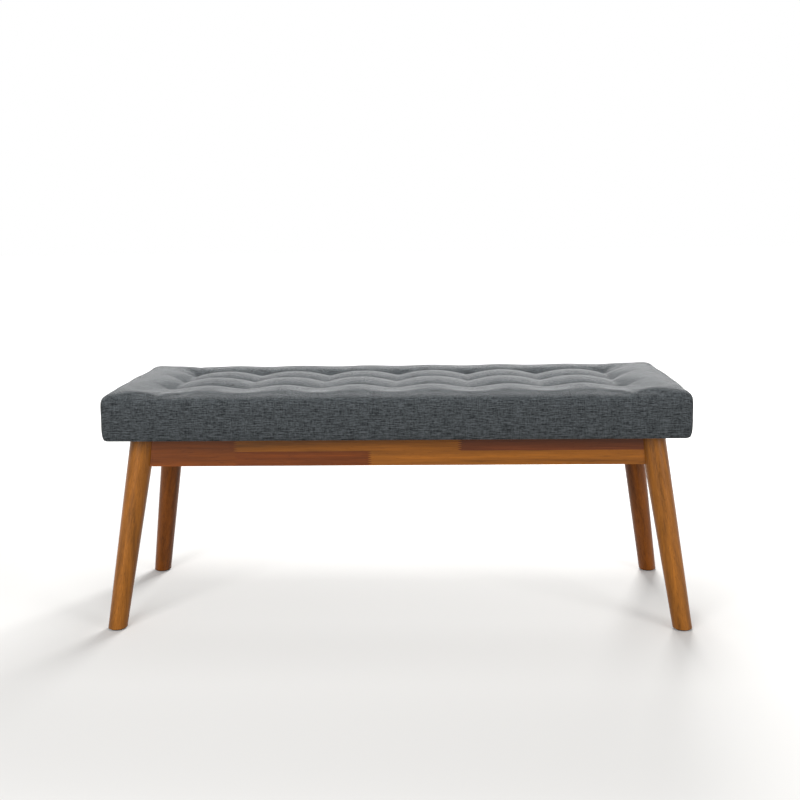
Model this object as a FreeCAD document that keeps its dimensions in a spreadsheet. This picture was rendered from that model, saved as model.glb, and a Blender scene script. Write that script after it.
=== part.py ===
import FreeCAD, Part
import math
import os
import Sketcher

# Upholstered bench with a tufted seat on a wooden frame with four splayed round legs.
# The origin is on the floor under the middle of the seat, +X runs along the seat to the right,
# the front of the seat faces -Y and +Z is up. All lengths are in millimetres.

DRIVING_SIZES = {
    # Seat
    "seat_length": 1100,
    "seat_depth": 400,
    "frame_height": 376,
    "cushion_height": 95.5,
    "bulge_above_frame": 53,
    "seat_corner_radius": 16,
    "edge_roll_radius": 25,
    "edge_fall": 22,
    "side_draw_in": 3,
    "cover_thickness": 1.5,
    "hem_width": 36,
    "dust_cover_thickness": 0.8,
    "dust_cover_inset": 14,
    "board_thickness": 12,
    "soft_gap": 0.3,
    # Tufts
    "tuft_columns": 7,
    "tuft_rows": 3,
    "tuft_end_margin": 124,
    "tuft_side_margin": 98,
    "tuft_depth": 18.5,
    "wave_depth": 9.5,
    "column_crest_drop": 6.5,
    "twine_radius": 1,
    "foam_channel_radius": 3,
    "board_hole_radius": 4,
    "twine_washer_radius": 9,
    "twine_washer_thickness": 1.2,
    # Legs
    "leg_inset_x": 63,
    "leg_inset_y": 75,
    "leg_splay_x": 60,
    "leg_splay_y": 46,
    "leg_top_radius": 24,
    "leg_foot_radius": 18,
    "glide_radius": 15,
    "glide_thickness": 3,
    "nail_head_radius": 4,
    "nail_radius": 1.4,
    "nail_length": 22,
    "nail_recess": 1,
    "nail_head_thickness": 1,
    "nail_tip_length": 3,
    "glide_chamfer": 1,
    # Frame
    "apron_height": 60,
    "apron_thickness": 22,
    "cope_gap": 0.3,
    "fit_gap": 0.2,
    "dowel_radius": 4,
    "dowel_length": 30,
    "dowel_spacing": 36,
    "dowel_end_gap": 1,
    "brace_thickness": 22,
    "block_height": 50,
    "block_thickness": 28,
    "block_to_leg_gap": 4,
    "housing_depth": 6,
    # Bolts and screws
    "bolt_radius": 4,
    "bolt_length": 80,
    "bolt_tip_length": 8,
    "bolt_past_leg_axis": 10,
    "bolt_washer_radius": 9,
    "bolt_washer_thickness": 1.6,
    "nut_across_corners_radius": 7.4,
    "nut_thickness": 6.5,
    "screw_radius": 2.2,
    "screw_head_radius": 4.4,
    "screw_head_height": 2.6,
    "screw_tip_length": 4,
    "block_screw_length": 30,
    "block_screw_spread": 36,
    "block_screw_spacing": 28,
    "block_screw_sink": 16,
    "seat_screw_bite": 9,
    "seat_screw_near": 8,
    "seat_screw_aside": 12,
    "brace_screw_spread": 120,
    # Staples
    "staple_crown": 11,
    "staple_wire": 0.7,
    "staple_leg": 8,
    "staple_inset": 24,
    "staple_pitch": 90,
}

# Corners of the frame: name, sign of X and sign of Y
CORNERS = (
    ("front_left", -1, -1),
    ("front_right", 1, -1),
    ("rear_left", -1, 1),
    ("rear_right", 1, 1),
)

# Share of a leg's length by which its blank runs past each cut end
LEG_BLANK_OVERRUN = 0.1

X_AXIS = (1, 0, 0)
Y_AXIS = (0, 1, 0)
Z_AXIS = (0, 0, 1)

document = FreeCAD.newDocument("UpholsteredBench")
sheet = document.addObject("Spreadsheet::Sheet", "Sizes")
for row, (alias, number) in enumerate(DRIVING_SIZES.items(), 1):
    sheet.set(f"A{row}", alias)
    sheet.set(f"B{row}", str(number))
    sheet.setAlias(f"B{row}", alias)
document.recompute()


def size(alias):
    """Return one driving size from the sheet as a plain number."""
    return float(getattr(sheet, alias))


def value(expression):
    """Work out an expression on the sheet's sizes."""
    result = sheet.evalExpression(expression)
    return float(getattr(result, "Value", result))


# Places that several pieces share, as expressions on the sheet.
# The aprons' centre planes cross the leg axes at the aprons' mid height.
SLOPE_X = "(Sizes.leg_splay_x / Sizes.frame_height)"
SLOPE_Y = "(Sizes.leg_splay_y / Sizes.frame_height)"
APRON_MID = "(Sizes.frame_height - Sizes.apron_height / 2)"
LEG_TOP_X = "(Sizes.seat_length / 2 - Sizes.leg_inset_x)"
LEG_TOP_Y = "(Sizes.seat_depth / 2 - Sizes.leg_inset_y)"
LEG_FOOT_X = f"({LEG_TOP_X} + Sizes.leg_splay_x)"
LEG_FOOT_Y = f"({LEG_TOP_Y} + Sizes.leg_splay_y)"
LEG_MID_X = f"({LEG_TOP_X} + {SLOPE_X} * Sizes.apron_height / 2)"
LEG_MID_Y = f"({LEG_TOP_Y} + {SLOPE_Y} * Sizes.apron_height / 2)"
LEG_TAPER = "(Sizes.leg_top_radius - Sizes.leg_foot_radius)"
LEG_MID_RADIUS = f"(Sizes.leg_top_radius - {LEG_TAPER} * Sizes.apron_height / 2 / Sizes.frame_height)"
LEG_LEAN = "sqrt(Sizes.leg_splay_x ^ 2 + Sizes.leg_splay_y ^ 2)"
INNER_X = f"({LEG_MID_X} - Sizes.apron_thickness / 2)"
INNER_Y = f"({LEG_MID_Y} - Sizes.apron_thickness / 2)"
AXIS_TO_CORNER = "(Sizes.apron_thickness / sqrt(2))"
BLOCK_NEAR = f"({LEG_MID_RADIUS} + Sizes.block_to_leg_gap - {AXIS_TO_CORNER})"
BLOCK_FAR = f"({BLOCK_NEAR} + Sizes.block_thickness)"
BLOCK_BOTTOM = "(Sizes.frame_height - Sizes.block_height)"
COVER_BOTTOM = "(Sizes.frame_height + Sizes.dust_cover_thickness)"
BOARD_BOTTOM = f"({COVER_BOTTOM} + Sizes.cover_thickness)"
BOARD_TOP = f"({BOARD_BOTTOM} + Sizes.board_thickness)"
CUSHION_TOP = "(Sizes.frame_height + Sizes.cushion_height)"
TUFT_PITCH_X = "((Sizes.seat_length - 2 * Sizes.tuft_end_margin) / (Sizes.tuft_columns - 1))"
TUFT_PITCH_Y = "((Sizes.seat_depth - 2 * Sizes.tuft_side_margin) / (Sizes.tuft_rows - 1))"
BOARD_EDGE = "(Sizes.side_draw_in + Sizes.cover_thickness + Sizes.soft_gap)"


def add(kind, name):
    """Add an object of a kind to the document."""
    return document.addObject(kind, name)


def bind(item, **expressions):
    """Tie properties of an object to expressions on the sheet."""
    for name, expression in expressions.items():
        item.setExpression(name, expression)
    return item


def place(item, x, y, z, turn_axis=Z_AXIS, turn="0"):
    """Tie the placement of an object: a point, and a turn in degrees about an axis."""
    axis_text = "; ".join(str(part) for part in turn_axis)
    item.setExpression(
        "Placement",
        f"placement(vector({x}; {y}; {z}); rotation(vector({axis_text}); {turn}))",
    )
    return item


def point_along(item, x, y, z, direction):
    """Place an object made along +Z so that it runs from a point in a level direction."""
    return place(item, x, y, z, (-direction[1], direction[0], 0), "90")


def box(name, low, high):
    """Add a box between two corners given as expressions."""
    item = add("Part::Box", name)
    bind(
        item,
        Length=f"({high[0]}) - ({low[0]})",
        Width=f"({high[1]}) - ({low[1]})",
        Height=f"({high[2]}) - ({low[2]})",
    )
    return place(item, *low)


def cylinder(name, radius, height):
    """Add an upright cylinder."""
    item = add("Part::Cylinder", name)
    return bind(item, Radius=radius, Height=height)


def cut(name, base, tools):
    """Cut a list of tools from a base."""
    tool = add("Part::Compound", name + "_tools")
    tool.Links = tools
    item = add("Part::Cut", name)
    item.Base = base
    item.Tool = tool
    return item


def group(name, members):
    """Gather identical pieces into one node of separate solids."""
    item = add("Part::Compound", name)
    item.Links = members
    return item


def copy_of(master, name):
    """Add a linked copy of a piece, to be placed by itself."""
    item = add("App::Link", name)
    item.LinkedObject = master
    return item


def body_plane(body, role):
    """Return one of a body's own origin planes."""
    return next(plane for plane in body.Origin.OriginFeatures if plane.Role == role)


def sketch_on(body, role, name):
    """Add a sketch on one of a body's origin planes."""
    sketch = body.newObject("Sketcher::SketchObject", name)
    sketch.AttachmentSupport = [(body_plane(body, role), "")]
    sketch.MapMode = "FlatFace"
    return sketch


def hold_point(sketch, edge, position, across, up):
    """Tie one point of a sketch to two expressions measured from the sketch's origin."""
    for direction, expression in (("DistanceX", across), ("DistanceY", up)):
        rule = Sketcher.Constraint(direction, -1, 1, edge, position, value(expression))
        index = sketch.addConstraint(rule)
        sketch.setExpression(f"Constraints[{index}]", expression)


def draw_polygon(sketch, corners):
    """Draw a closed outline through corners given as pairs of expressions."""
    points = [FreeCAD.Vector(value(across), value(up), 0) for across, up in corners]
    count = len(points)
    for index in range(count):
        sketch.addGeometry(Part.LineSegment(points[index], points[(index + 1) % count]))
    for index in range(count):
        sketch.addConstraint(Sketcher.Constraint("Coincident", index, 2, (index + 1) % count, 1))
    for index, (across, up) in enumerate(corners):
        hold_point(sketch, index, 1, across, up)


def draw_circle(sketch, across, up, radius):
    """Draw a circle whose centre and radius are expressions."""
    centre = FreeCAD.Vector(value(across), value(up), 0)
    edge = sketch.addGeometry(Part.Circle(centre, FreeCAD.Vector(0, 0, 1), value(radius)))
    hold_point(sketch, edge, 3, across, up)
    index = sketch.addConstraint(Sketcher.Constraint("Radius", edge, value(radius)))
    sketch.setExpression(f"Constraints[{index}]", radius)


def pad(body, sketch, length):
    """Pad a sketch upwards from its plane."""
    feature = body.newObject("PartDesign::Pad", sketch.Name + "_pad")
    feature.Profile = sketch
    return bind(feature, Length=length)


def turned_body(name, corners):
    """Make a turned piece: an outline in the XZ plane revolved about the Z axis."""
    body = add("PartDesign::Body", name)
    sketch = sketch_on(body, "XZ_Plane", name + "_outline")
    draw_polygon(sketch, corners)
    feature = body.newObject("PartDesign::Revolution", name + "_turning")
    feature.Profile = sketch
    feature.ReferenceAxis = (sketch, ["V_Axis"])
    feature.Angle = 360
    return body


# Fastener forms, drawn once and repeated as linked copies


def make_screw(name, length):
    """Countersunk screw along +Z with the flat of its head at the origin."""
    return turned_body(
        name,
        (
            ("0", "0"),
            ("Sizes.screw_head_radius", "0"),
            ("Sizes.screw_radius", "Sizes.screw_head_height"),
            ("Sizes.screw_radius", f"{length} - Sizes.screw_tip_length"),
            ("0", length),
        ),
    )


def make_screw_bore(name, length, sink):
    """Hole for a screw, a fit gap wider all round, with a straight sink below the head."""
    return turned_body(
        name,
        (
            ("0", f"-({sink})"),
            ("Sizes.screw_head_radius + Sizes.fit_gap", f"-({sink})"),
            ("Sizes.screw_head_radius + Sizes.fit_gap", "0"),
            ("Sizes.screw_radius + Sizes.fit_gap", "Sizes.screw_head_height"),
            ("Sizes.screw_radius + Sizes.fit_gap", f"{length} - Sizes.screw_tip_length"),
            ("0", f"{length} + Sizes.fit_gap"),
        ),
    )


SEAT_SCREW_LENGTH = (
    "(Sizes.block_height + Sizes.dust_cover_thickness + Sizes.cover_thickness + Sizes.seat_screw_bite)"
)

block_screw_form = make_screw("block_screw_form", "Sizes.block_screw_length")
block_screw_bore = make_screw_bore(
    "block_screw_bore",
    "Sizes.block_screw_length",
    "Sizes.block_screw_sink",
)
seat_screw_form = make_screw("seat_screw_form", SEAT_SCREW_LENGTH)
seat_screw_bore = make_screw_bore("seat_screw_bore", SEAT_SCREW_LENGTH, "Sizes.fit_gap")

NAIL_TOP = "(Sizes.nail_recess + Sizes.nail_length)"
NAIL_HEAD_TOP = "(Sizes.nail_recess + Sizes.nail_head_thickness)"
nail_form = turned_body(
    "nail_form",
    (
        ("0", "Sizes.nail_recess"),
        ("Sizes.nail_head_radius", "Sizes.nail_recess"),
        ("Sizes.nail_head_radius", NAIL_HEAD_TOP),
        ("Sizes.nail_radius", NAIL_HEAD_TOP),
        ("Sizes.nail_radius", f"{NAIL_TOP} - Sizes.nail_tip_length"),
        ("0", NAIL_TOP),
    ),
)

glide_form = turned_body(
    "glide_form",
    (
        ("Sizes.nail_head_radius + Sizes.fit_gap", "0"),
        ("Sizes.glide_radius - Sizes.glide_chamfer", "0"),
        ("Sizes.glide_radius", "Sizes.glide_chamfer"),
        ("Sizes.glide_radius", "Sizes.glide_thickness"),
        ("Sizes.nail_radius + Sizes.fit_gap", "Sizes.glide_thickness"),
        ("Sizes.nail_radius + Sizes.fit_gap", NAIL_HEAD_TOP),
        ("Sizes.nail_head_radius + Sizes.fit_gap", NAIL_HEAD_TOP),
    ),
)

bolt_form = turned_body(
    "bolt_form",
    (
        ("0", "0"),
        ("Sizes.bolt_radius", "Sizes.bolt_tip_length"),
        ("Sizes.bolt_radius", "Sizes.bolt_length"),
        ("0", "Sizes.bolt_length"),
    ),
)

bolt_washer_form = turned_body(
    "bolt_washer_form",
    (
        ("Sizes.bolt_radius + Sizes.fit_gap", "0"),
        ("Sizes.bolt_washer_radius", "0"),
        ("Sizes.bolt_washer_radius", "Sizes.bolt_washer_thickness"),
        ("Sizes.bolt_radius + Sizes.fit_gap", "Sizes.bolt_washer_thickness"),
    ),
)


def make_nut_form():
    """Hexagon nut along +Z."""
    body = add("PartDesign::Body", "nut_form")
    sketch = sketch_on(body, "XY_Plane", "nut_outline")
    sides = 6
    radius = "Sizes.nut_across_corners_radius"
    hexagon = []
    for side in range(sides):
        angle = 360 * side / sides
        hexagon.append((f"{radius} * cos({angle})", f"{radius} * sin({angle})"))
    draw_polygon(sketch, hexagon)
    draw_circle(sketch, "0", "0", "Sizes.bolt_radius + Sizes.fit_gap")
    pad(body, sketch, "Sizes.nut_thickness")
    return body


def make_staple_form(name, grow):
    """U-shaped staple under a face at the origin, with its legs along +Z."""
    body = add("PartDesign::Body", name)
    sketch = sketch_on(body, "XZ_Plane", name + "_outline")
    outer = f"(Sizes.staple_crown / 2 + {grow})"
    inner = f"(Sizes.staple_crown / 2 - Sizes.staple_wire - {grow})"
    tip = f"(Sizes.staple_leg + {grow})"
    draw_polygon(
        sketch,
        (
            (f"-{outer}", f"-Sizes.staple_wire - {grow}"),
            (outer, f"-Sizes.staple_wire - {grow}"),
            (outer, tip),
            (inner, tip),
            (inner, grow),
            (f"-{inner}", grow),
            (f"-{inner}", tip),
            (f"-{outer}", tip),
        ),
    )
    feature = pad(body, sketch, f"Sizes.staple_wire + 2 * {grow}")
    feature.Midplane = True
    return body


nut_form = make_nut_form()
staple_form = make_staple_form("staple_form", "0")
staple_bore = make_staple_form("staple_bore", "Sizes.soft_gap / 2")

# Legs: turned, tapered and splayed both ways, with level cuts at the foot and at the top

leg_trim = box(
    "leg_trim",
    ("-Sizes.seat_length", "-Sizes.seat_depth", "Sizes.glide_thickness"),
    ("Sizes.seat_length", "Sizes.seat_depth", "Sizes.frame_height"),
)


def leg_cone(name, sign_x, sign_y, grow):
    """Cone along a leg's axis, running past both cut ends, grown all round by a gap."""
    item = add("Part::Cone", name)
    past = LEG_BLANK_OVERRUN
    bind(
        item,
        Radius1=f"Sizes.leg_foot_radius - {past} * {LEG_TAPER} + {grow}",
        Radius2=f"Sizes.leg_top_radius + {past} * {LEG_TAPER} + {grow}",
        Height=f"{1 + 2 * past} * sqrt({LEG_LEAN} ^ 2 + Sizes.frame_height ^ 2)",
    )
    turn_axis = (f"{sign_y} * Sizes.leg_splay_y", f"{-sign_x} * Sizes.leg_splay_x", "0")
    return place(
        item,
        f"{sign_x} * ({LEG_FOOT_X} + {past} * Sizes.leg_splay_x)",
        f"{sign_y} * ({LEG_FOOT_Y} + {past} * Sizes.leg_splay_y)",
        f"-{past} * Sizes.frame_height",
        turn_axis,
        f"atan({LEG_LEAN} / Sizes.frame_height)",
    )


def dowels_of_corner(corner, sign_x, sign_y):
    """Dowels that join two aprons to one leg, and the holes that they fill."""
    dowels = []
    bores = []
    for level, side in (("lower", -1), ("upper", 1)):
        height = f"{APRON_MID} + {side} * Sizes.dowel_spacing / 2"
        face_x = f"{sign_x} * ({LEG_MID_X} - {LEG_MID_RADIUS})"
        face_y = f"{sign_y} * ({LEG_MID_Y} - {LEG_MID_RADIUS})"
        axis_x = f"{sign_x} * {LEG_MID_X}"
        axis_y = f"{sign_y} * {LEG_MID_Y}"
        half = "Sizes.dowel_length / 2"
        half_bore = "(Sizes.dowel_length / 2 + Sizes.dowel_end_gap)"
        for run, x, y, direction in (
            ("long", face_x, axis_y, X_AXIS),
            ("cross", axis_x, face_y, Y_AXIS),
        ):
            name = f"{corner}_{run}_{level}"
            dowel = cylinder(f"dowel_{name}", "Sizes.dowel_radius", "Sizes.dowel_length")
            start_x = f"{x} - {direction[0]} * {half}"
            start_y = f"{y} - {direction[1]} * {half}"
            dowels.append(point_along(dowel, start_x, start_y, height, direction))
            bore_radius = "Sizes.dowel_radius + Sizes.fit_gap"
            bore = cylinder(f"dowel_bore_{name}", bore_radius, f"2 * {half_bore}")
            start_x = f"{x} - {direction[0]} * {half_bore}"
            start_y = f"{y} - {direction[1]} * {half_bore}"
            bores.append(point_along(bore, start_x, start_y, height, direction))
    return dowels, bores


def from_corner(sign_x, sign_y, inward, aside="0"):
    """Point in plan, measured from the aprons' inner corner along the diagonal and across it."""
    x = f"{sign_x} * ({INNER_X} - (({inward}) + ({aside})) / sqrt(2))"
    y = f"{sign_y} * ({INNER_Y} - (({inward}) - ({aside})) / sqrt(2))"
    return x, y


def block_screws_of_corner(corner, sign_x, sign_y, master, kind):
    """Four screws through a corner block's wings, square to the aprons' inner faces."""
    screws = []
    for level, side in (("lower", -1), ("upper", 1)):
        height = f"{BLOCK_BOTTOM} + Sizes.block_height / 2 + {side} * Sizes.block_screw_spacing / 2"
        along_x = copy_of(master, f"{kind}_{corner}_long_{level}")
        x = f"{sign_x} * ({INNER_X} - Sizes.block_screw_spread)"
        y = f"{sign_y} * ({INNER_Y} - Sizes.block_screw_sink)"
        screws.append(point_along(along_x, x, y, height, (0, sign_y, 0)))
        along_y = copy_of(master, f"{kind}_{corner}_cross_{level}")
        x = f"{sign_x} * ({INNER_X} - Sizes.block_screw_sink)"
        y = f"{sign_y} * ({INNER_Y} - Sizes.block_screw_spread)"
        screws.append(point_along(along_y, x, y, height, (sign_x, 0, 0)))
    return screws


legs = []
corner_blocks = []
glides = []
all_dowels = []
all_bolts = []
all_bolt_washers = []
all_nuts = []
all_nails = []
all_block_screws = []
all_seat_screws = []
board_screw_bores = []
apron_tools = {"front": [], "rear": [], "left": [], "right": []}

for corner, sign_x, sign_y in CORNERS:
    dowels, dowel_bores = dowels_of_corner(corner, sign_x, sign_y)
    all_dowels += dowels

    bolt_start = f"(-{AXIS_TO_CORNER} - Sizes.bolt_past_leg_axis)"
    bolt_direction = (-sign_x, -sign_y, 0)
    tip_x, tip_y = from_corner(sign_x, sign_y, bolt_start)
    bolt = copy_of(bolt_form, f"bolt_{corner}")
    all_bolts.append(point_along(bolt, tip_x, tip_y, APRON_MID, bolt_direction))
    bore_x, bore_y = from_corner(sign_x, sign_y, f"{bolt_start} - Sizes.fit_gap")
    bore_radius = "Sizes.bolt_radius + Sizes.fit_gap"
    bolt_bore = cylinder(f"bolt_bore_{corner}", bore_radius, "Sizes.bolt_length")
    point_along(bolt_bore, bore_x, bore_y, APRON_MID, bolt_direction)

    washer_x, washer_y = from_corner(sign_x, sign_y, BLOCK_FAR)
    washer = copy_of(bolt_washer_form, f"bolt_washer_{corner}")
    all_bolt_washers.append(point_along(washer, washer_x, washer_y, APRON_MID, bolt_direction))
    nut_x, nut_y = from_corner(sign_x, sign_y, f"{BLOCK_FAR} + Sizes.bolt_washer_thickness")
    nut = copy_of(nut_form, f"nut_{corner}")
    all_nuts.append(point_along(nut, nut_x, nut_y, APRON_MID, bolt_direction))

    foot_x = f"{sign_x} * {LEG_FOOT_X}"
    foot_y = f"{sign_y} * {LEG_FOOT_Y}"
    nail = copy_of(nail_form, f"nail_{corner}")
    all_nails.append(place(nail, foot_x, foot_y, "0"))
    bore_radius = "Sizes.nail_radius + Sizes.fit_gap"
    nail_bore = cylinder(f"nail_bore_{corner}", bore_radius, f"{NAIL_TOP} + Sizes.fit_gap")
    place(nail_bore, foot_x, foot_y, "0")
    glide = place(copy_of(glide_form, f"glide_{corner}"), foot_x, foot_y, "0")
    glides.append(group(f"foot_glide_{corner}", [glide]))

    blank = add("Part::Common", f"leg_blank_{corner}")
    blank.Base = leg_cone(f"leg_cone_{corner}", sign_x, sign_y, "0")
    blank.Tool = leg_trim
    legs.append(cut(f"leg_{corner}", blank, dowel_bores + [bolt_bore, nail_bore]))

    cope = leg_cone(f"cope_{corner}", sign_x, sign_y, "Sizes.cope_gap")
    block_bores = block_screws_of_corner(corner, sign_x, sign_y, block_screw_bore, "block_bore")
    all_block_screws += block_screws_of_corner(corner, sign_x, sign_y, block_screw_form, "block_screw")
    for apron in ("front" if sign_y < 0 else "rear", "left" if sign_x < 0 else "right"):
        apron_tools[apron] += [cope] + dowel_bores + block_bores

    # Corner block: a prism across the inner corner, glued and screwed to both aprons
    block_body = add("PartDesign::Body", f"block_body_{corner}")
    block_sketch = sketch_on(block_body, "XY_Plane", f"block_outline_{corner}")
    draw_polygon(
        block_sketch,
        (
            (BLOCK_NEAR, f"-{BLOCK_NEAR}"),
            (BLOCK_FAR, f"-{BLOCK_FAR}"),
            (BLOCK_FAR, BLOCK_FAR),
            (BLOCK_NEAR, BLOCK_NEAR),
        ),
    )
    pad(block_body, block_sketch, "Sizes.block_height")
    inward_angle = math.degrees(math.atan2(-sign_y, -sign_x))
    place(block_body, f"{sign_x} * {INNER_X}", f"{sign_y} * {INNER_Y}", BLOCK_BOTTOM, Z_AXIS, inward_angle)
    screw_near = f"{BLOCK_NEAR} + Sizes.seat_screw_near"
    screw_x, screw_y = from_corner(sign_x, sign_y, screw_near, "Sizes.seat_screw_aside")
    seat_screw = copy_of(seat_screw_form, f"seat_screw_{corner}")
    all_seat_screws.append(place(seat_screw, screw_x, screw_y, BLOCK_BOTTOM))
    seat_bore = copy_of(seat_screw_bore, f"seat_bore_{corner}")
    board_screw_bores.append(place(seat_bore, screw_x, screw_y, BLOCK_BOTTOM))
    corner_blocks.append(cut(f"corner_block_{corner}", block_body, block_bores + [bolt_bore, seat_bore]))

# Centre brace: a cross rail housed in the front and rear aprons

BRACE_HALF = f"({INNER_Y} + Sizes.housing_depth)"
brace_blank = box(
    "brace_blank",
    ("-Sizes.brace_thickness / 2", f"-{BRACE_HALF}", BLOCK_BOTTOM),
    ("Sizes.brace_thickness / 2", BRACE_HALF, "Sizes.frame_height"),
)
brace_housing = box(
    "brace_housing",
    ("-Sizes.brace_thickness / 2 - Sizes.fit_gap", f"-{BRACE_HALF} - Sizes.fit_gap", BLOCK_BOTTOM),
    ("Sizes.brace_thickness / 2 + Sizes.fit_gap", f"{BRACE_HALF} + Sizes.fit_gap", "Sizes.frame_height"),
)
brace_bores = []
for side, sign in (("front", -1), ("rear", 1)):
    offset = f"{sign} * Sizes.brace_screw_spread / 2"
    brace_screw = copy_of(seat_screw_form, f"seat_screw_brace_{side}")
    all_seat_screws.append(place(brace_screw, "0", offset, BLOCK_BOTTOM))
    brace_bores.append(place(copy_of(seat_screw_bore, f"brace_bore_{side}"), "0", offset, BLOCK_BOTTOM))
board_screw_bores += brace_bores
centre_brace = cut("centre_brace", brace_blank, brace_bores)

# Aprons: boards between the legs, coped to them at both ends


def long_apron(name, sign_y):
    """Front or rear apron."""
    near = f"{sign_y} * {LEG_MID_Y} - Sizes.apron_thickness / 2"
    far = f"{sign_y} * {LEG_MID_Y} + Sizes.apron_thickness / 2"
    low = (f"-{LEG_MID_X}", near, "Sizes.frame_height - Sizes.apron_height")
    high = (LEG_MID_X, far, "Sizes.frame_height")
    return cut(f"{name}_apron", box(f"{name}_apron_blank", low, high), apron_tools[name] + [brace_housing])


def side_apron(name, sign_x):
    """Left or right apron."""
    near = f"{sign_x} * {LEG_MID_X} - Sizes.apron_thickness / 2"
    far = f"{sign_x} * {LEG_MID_X} + Sizes.apron_thickness / 2"
    low = (near, f"-{LEG_MID_Y}", "Sizes.frame_height - Sizes.apron_height")
    high = (far, LEG_MID_Y, "Sizes.frame_height")
    return cut(f"side_apron_{name}", box(f"{name}_apron_blank", low, high), apron_tools[name])


aprons = [long_apron("front", -1), long_apron("rear", 1), side_apron("left", -1), side_apron("right", 1)]

# Staples: one row near each edge of the underside, through dust cover and hem into the board

staples = []
staple_bores = []


def staple_row(name, length, across, along_x):
    """A row of staples at a steady pitch, parallel to one edge."""
    count = max(2, int(length / size("staple_pitch")))
    for index in range(count):
        share = (index + 0.5) / count - 0.5
        start = f"{share} * ({length} - 2 * Sizes.staple_inset)"
        x, y, turn = (start, across, "0") if along_x else (across, start, "90")
        for master, kind, items in (
            (staple_form, "staple", staples),
            (staple_bore, "staple_bore", staple_bores),
        ):
            item = copy_of(master, f"{kind}_{name}_{index}")
            items.append(place(item, x, y, "Sizes.frame_height", Z_AXIS, turn))


for side, sign in (("front", -1), ("rear", 1)):
    across = f"{sign} * (Sizes.seat_depth / 2 - Sizes.staple_inset)"
    staple_row(side, size("seat_length"), across, True)
for side, sign in (("left", -1), ("right", 1)):
    across = f"{sign} * (Sizes.seat_length / 2 - Sizes.staple_inset)"
    staple_row(side, size("seat_depth"), across, False)

# Seat board and dust cover


def flat_sheet_body(name, half_x, half_y, thickness):
    """Rectangular sheet padded up from the XY plane."""
    body = add("PartDesign::Body", name)
    sketch = sketch_on(body, "XY_Plane", name + "_outline")
    draw_polygon(
        sketch,
        (
            (f"-({half_x})", f"-({half_y})"),
            (half_x, f"-({half_y})"),
            (half_x, half_y),
            (f"-({half_x})", half_y),
        ),
    )
    pad(body, sketch, thickness)
    return body


board_body = flat_sheet_body(
    "board_body",
    f"Sizes.seat_length / 2 - {BOARD_EDGE}",
    f"Sizes.seat_depth / 2 - {BOARD_EDGE}",
    "Sizes.board_thickness",
)
document.recompute()

# Rounded corners follow the cover's corners
board_pad = board_body.Tip
upright_edges = [
    f"Edge{number}"
    for number, edge in enumerate(board_pad.Shape.Edges, 1)
    if edge.BoundBox.ZLength > edge.BoundBox.XLength + edge.BoundBox.YLength
]
board_fillet = board_body.newObject("PartDesign::Fillet", "board_corners")
board_fillet.Base = (board_pad, upright_edges)
bind(board_fillet, Radius=f"Sizes.seat_corner_radius - {BOARD_EDGE}")
board_body.Tip = board_fillet
document.recompute()

# Holes for the tufting twine, one column drilled and then repeated along the board
hole_sketch = sketch_on(board_body, "XY_Plane", "board_holes_outline")
rows = int(size("tuft_rows"))
first_column = "-(Sizes.seat_length / 2 - Sizes.tuft_end_margin)"
for row in range(rows):
    across = f"-(Sizes.seat_depth / 2 - Sizes.tuft_side_margin) + {row} * {TUFT_PITCH_Y}"
    draw_circle(hole_sketch, first_column, across, "Sizes.board_hole_radius")
hole_pocket = board_body.newObject("PartDesign::Pocket", "board_holes")
hole_pocket.Profile = hole_sketch
hole_pocket.Type = "ThroughAll"
hole_pocket.Reversed = True
hole_pattern = board_body.newObject("PartDesign::LinearPattern", "board_hole_columns")
hole_pattern.Originals = [hole_pocket]
hole_pattern.Direction = (hole_sketch, ["H_Axis"])
bind(
    hole_pattern,
    Length="Sizes.seat_length - 2 * Sizes.tuft_end_margin",
    Occurrences="Sizes.tuft_columns",
)
board_body.Tip = hole_pattern
place(board_body, "0", "0", BOARD_BOTTOM)
seat_board = cut("seat_board", board_body, board_screw_bores + staple_bores)

dust_body = flat_sheet_body(
    "dust_body",
    "Sizes.seat_length / 2 - Sizes.dust_cover_inset",
    "Sizes.seat_depth / 2 - Sizes.dust_cover_inset",
    "Sizes.dust_cover_thickness",
)
place(dust_body, "0", "0", "Sizes.frame_height")
dust_cover = cut("dust_cover", dust_body, board_screw_bores + staple_bores)
document.recompute()

# Cushion: the plan swells from the drawn-in foot of its sides to the bulge and rolls over at the
# top edge, and a tufted top with crests between the rows of tufts cuts it off.

half_length = size("seat_length") / 2
half_depth = size("seat_depth") / 2
crest_height = value(CUSHION_TOP)
cover_bottom = value(COVER_BOTTOM)
board_top = value(BOARD_TOP)
columns = int(size("tuft_columns"))
first_x = size("tuft_end_margin") - half_length
first_y = size("tuft_side_margin") - half_depth
column_xs = [first_x + column * value(TUFT_PITCH_X) for column in range(columns)]
row_ys = [first_y + row * value(TUFT_PITCH_Y) for row in range(rows)]

# Angles up the rolled edge, in degrees, at which the sides get a section
ROLL_ANGLES = (0, 25, 48, 68)
# How far the blanks of the sides and the top run past each other
BLANK_OVERRUN = 12
# How much faster than a straight slope a valley deepens towards a tuft
VALLEY_SHARPNESS = 1.5
# Share of the outer crests' width by which their tops lie off centre, towards the seat's edge
OUTER_CREST_SHIFT = 0.05
# Steps between the sections of the tufted top, from one column to the next and at each end
STEPS_PER_GAP = 4
STEPS_PER_END = 4


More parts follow.
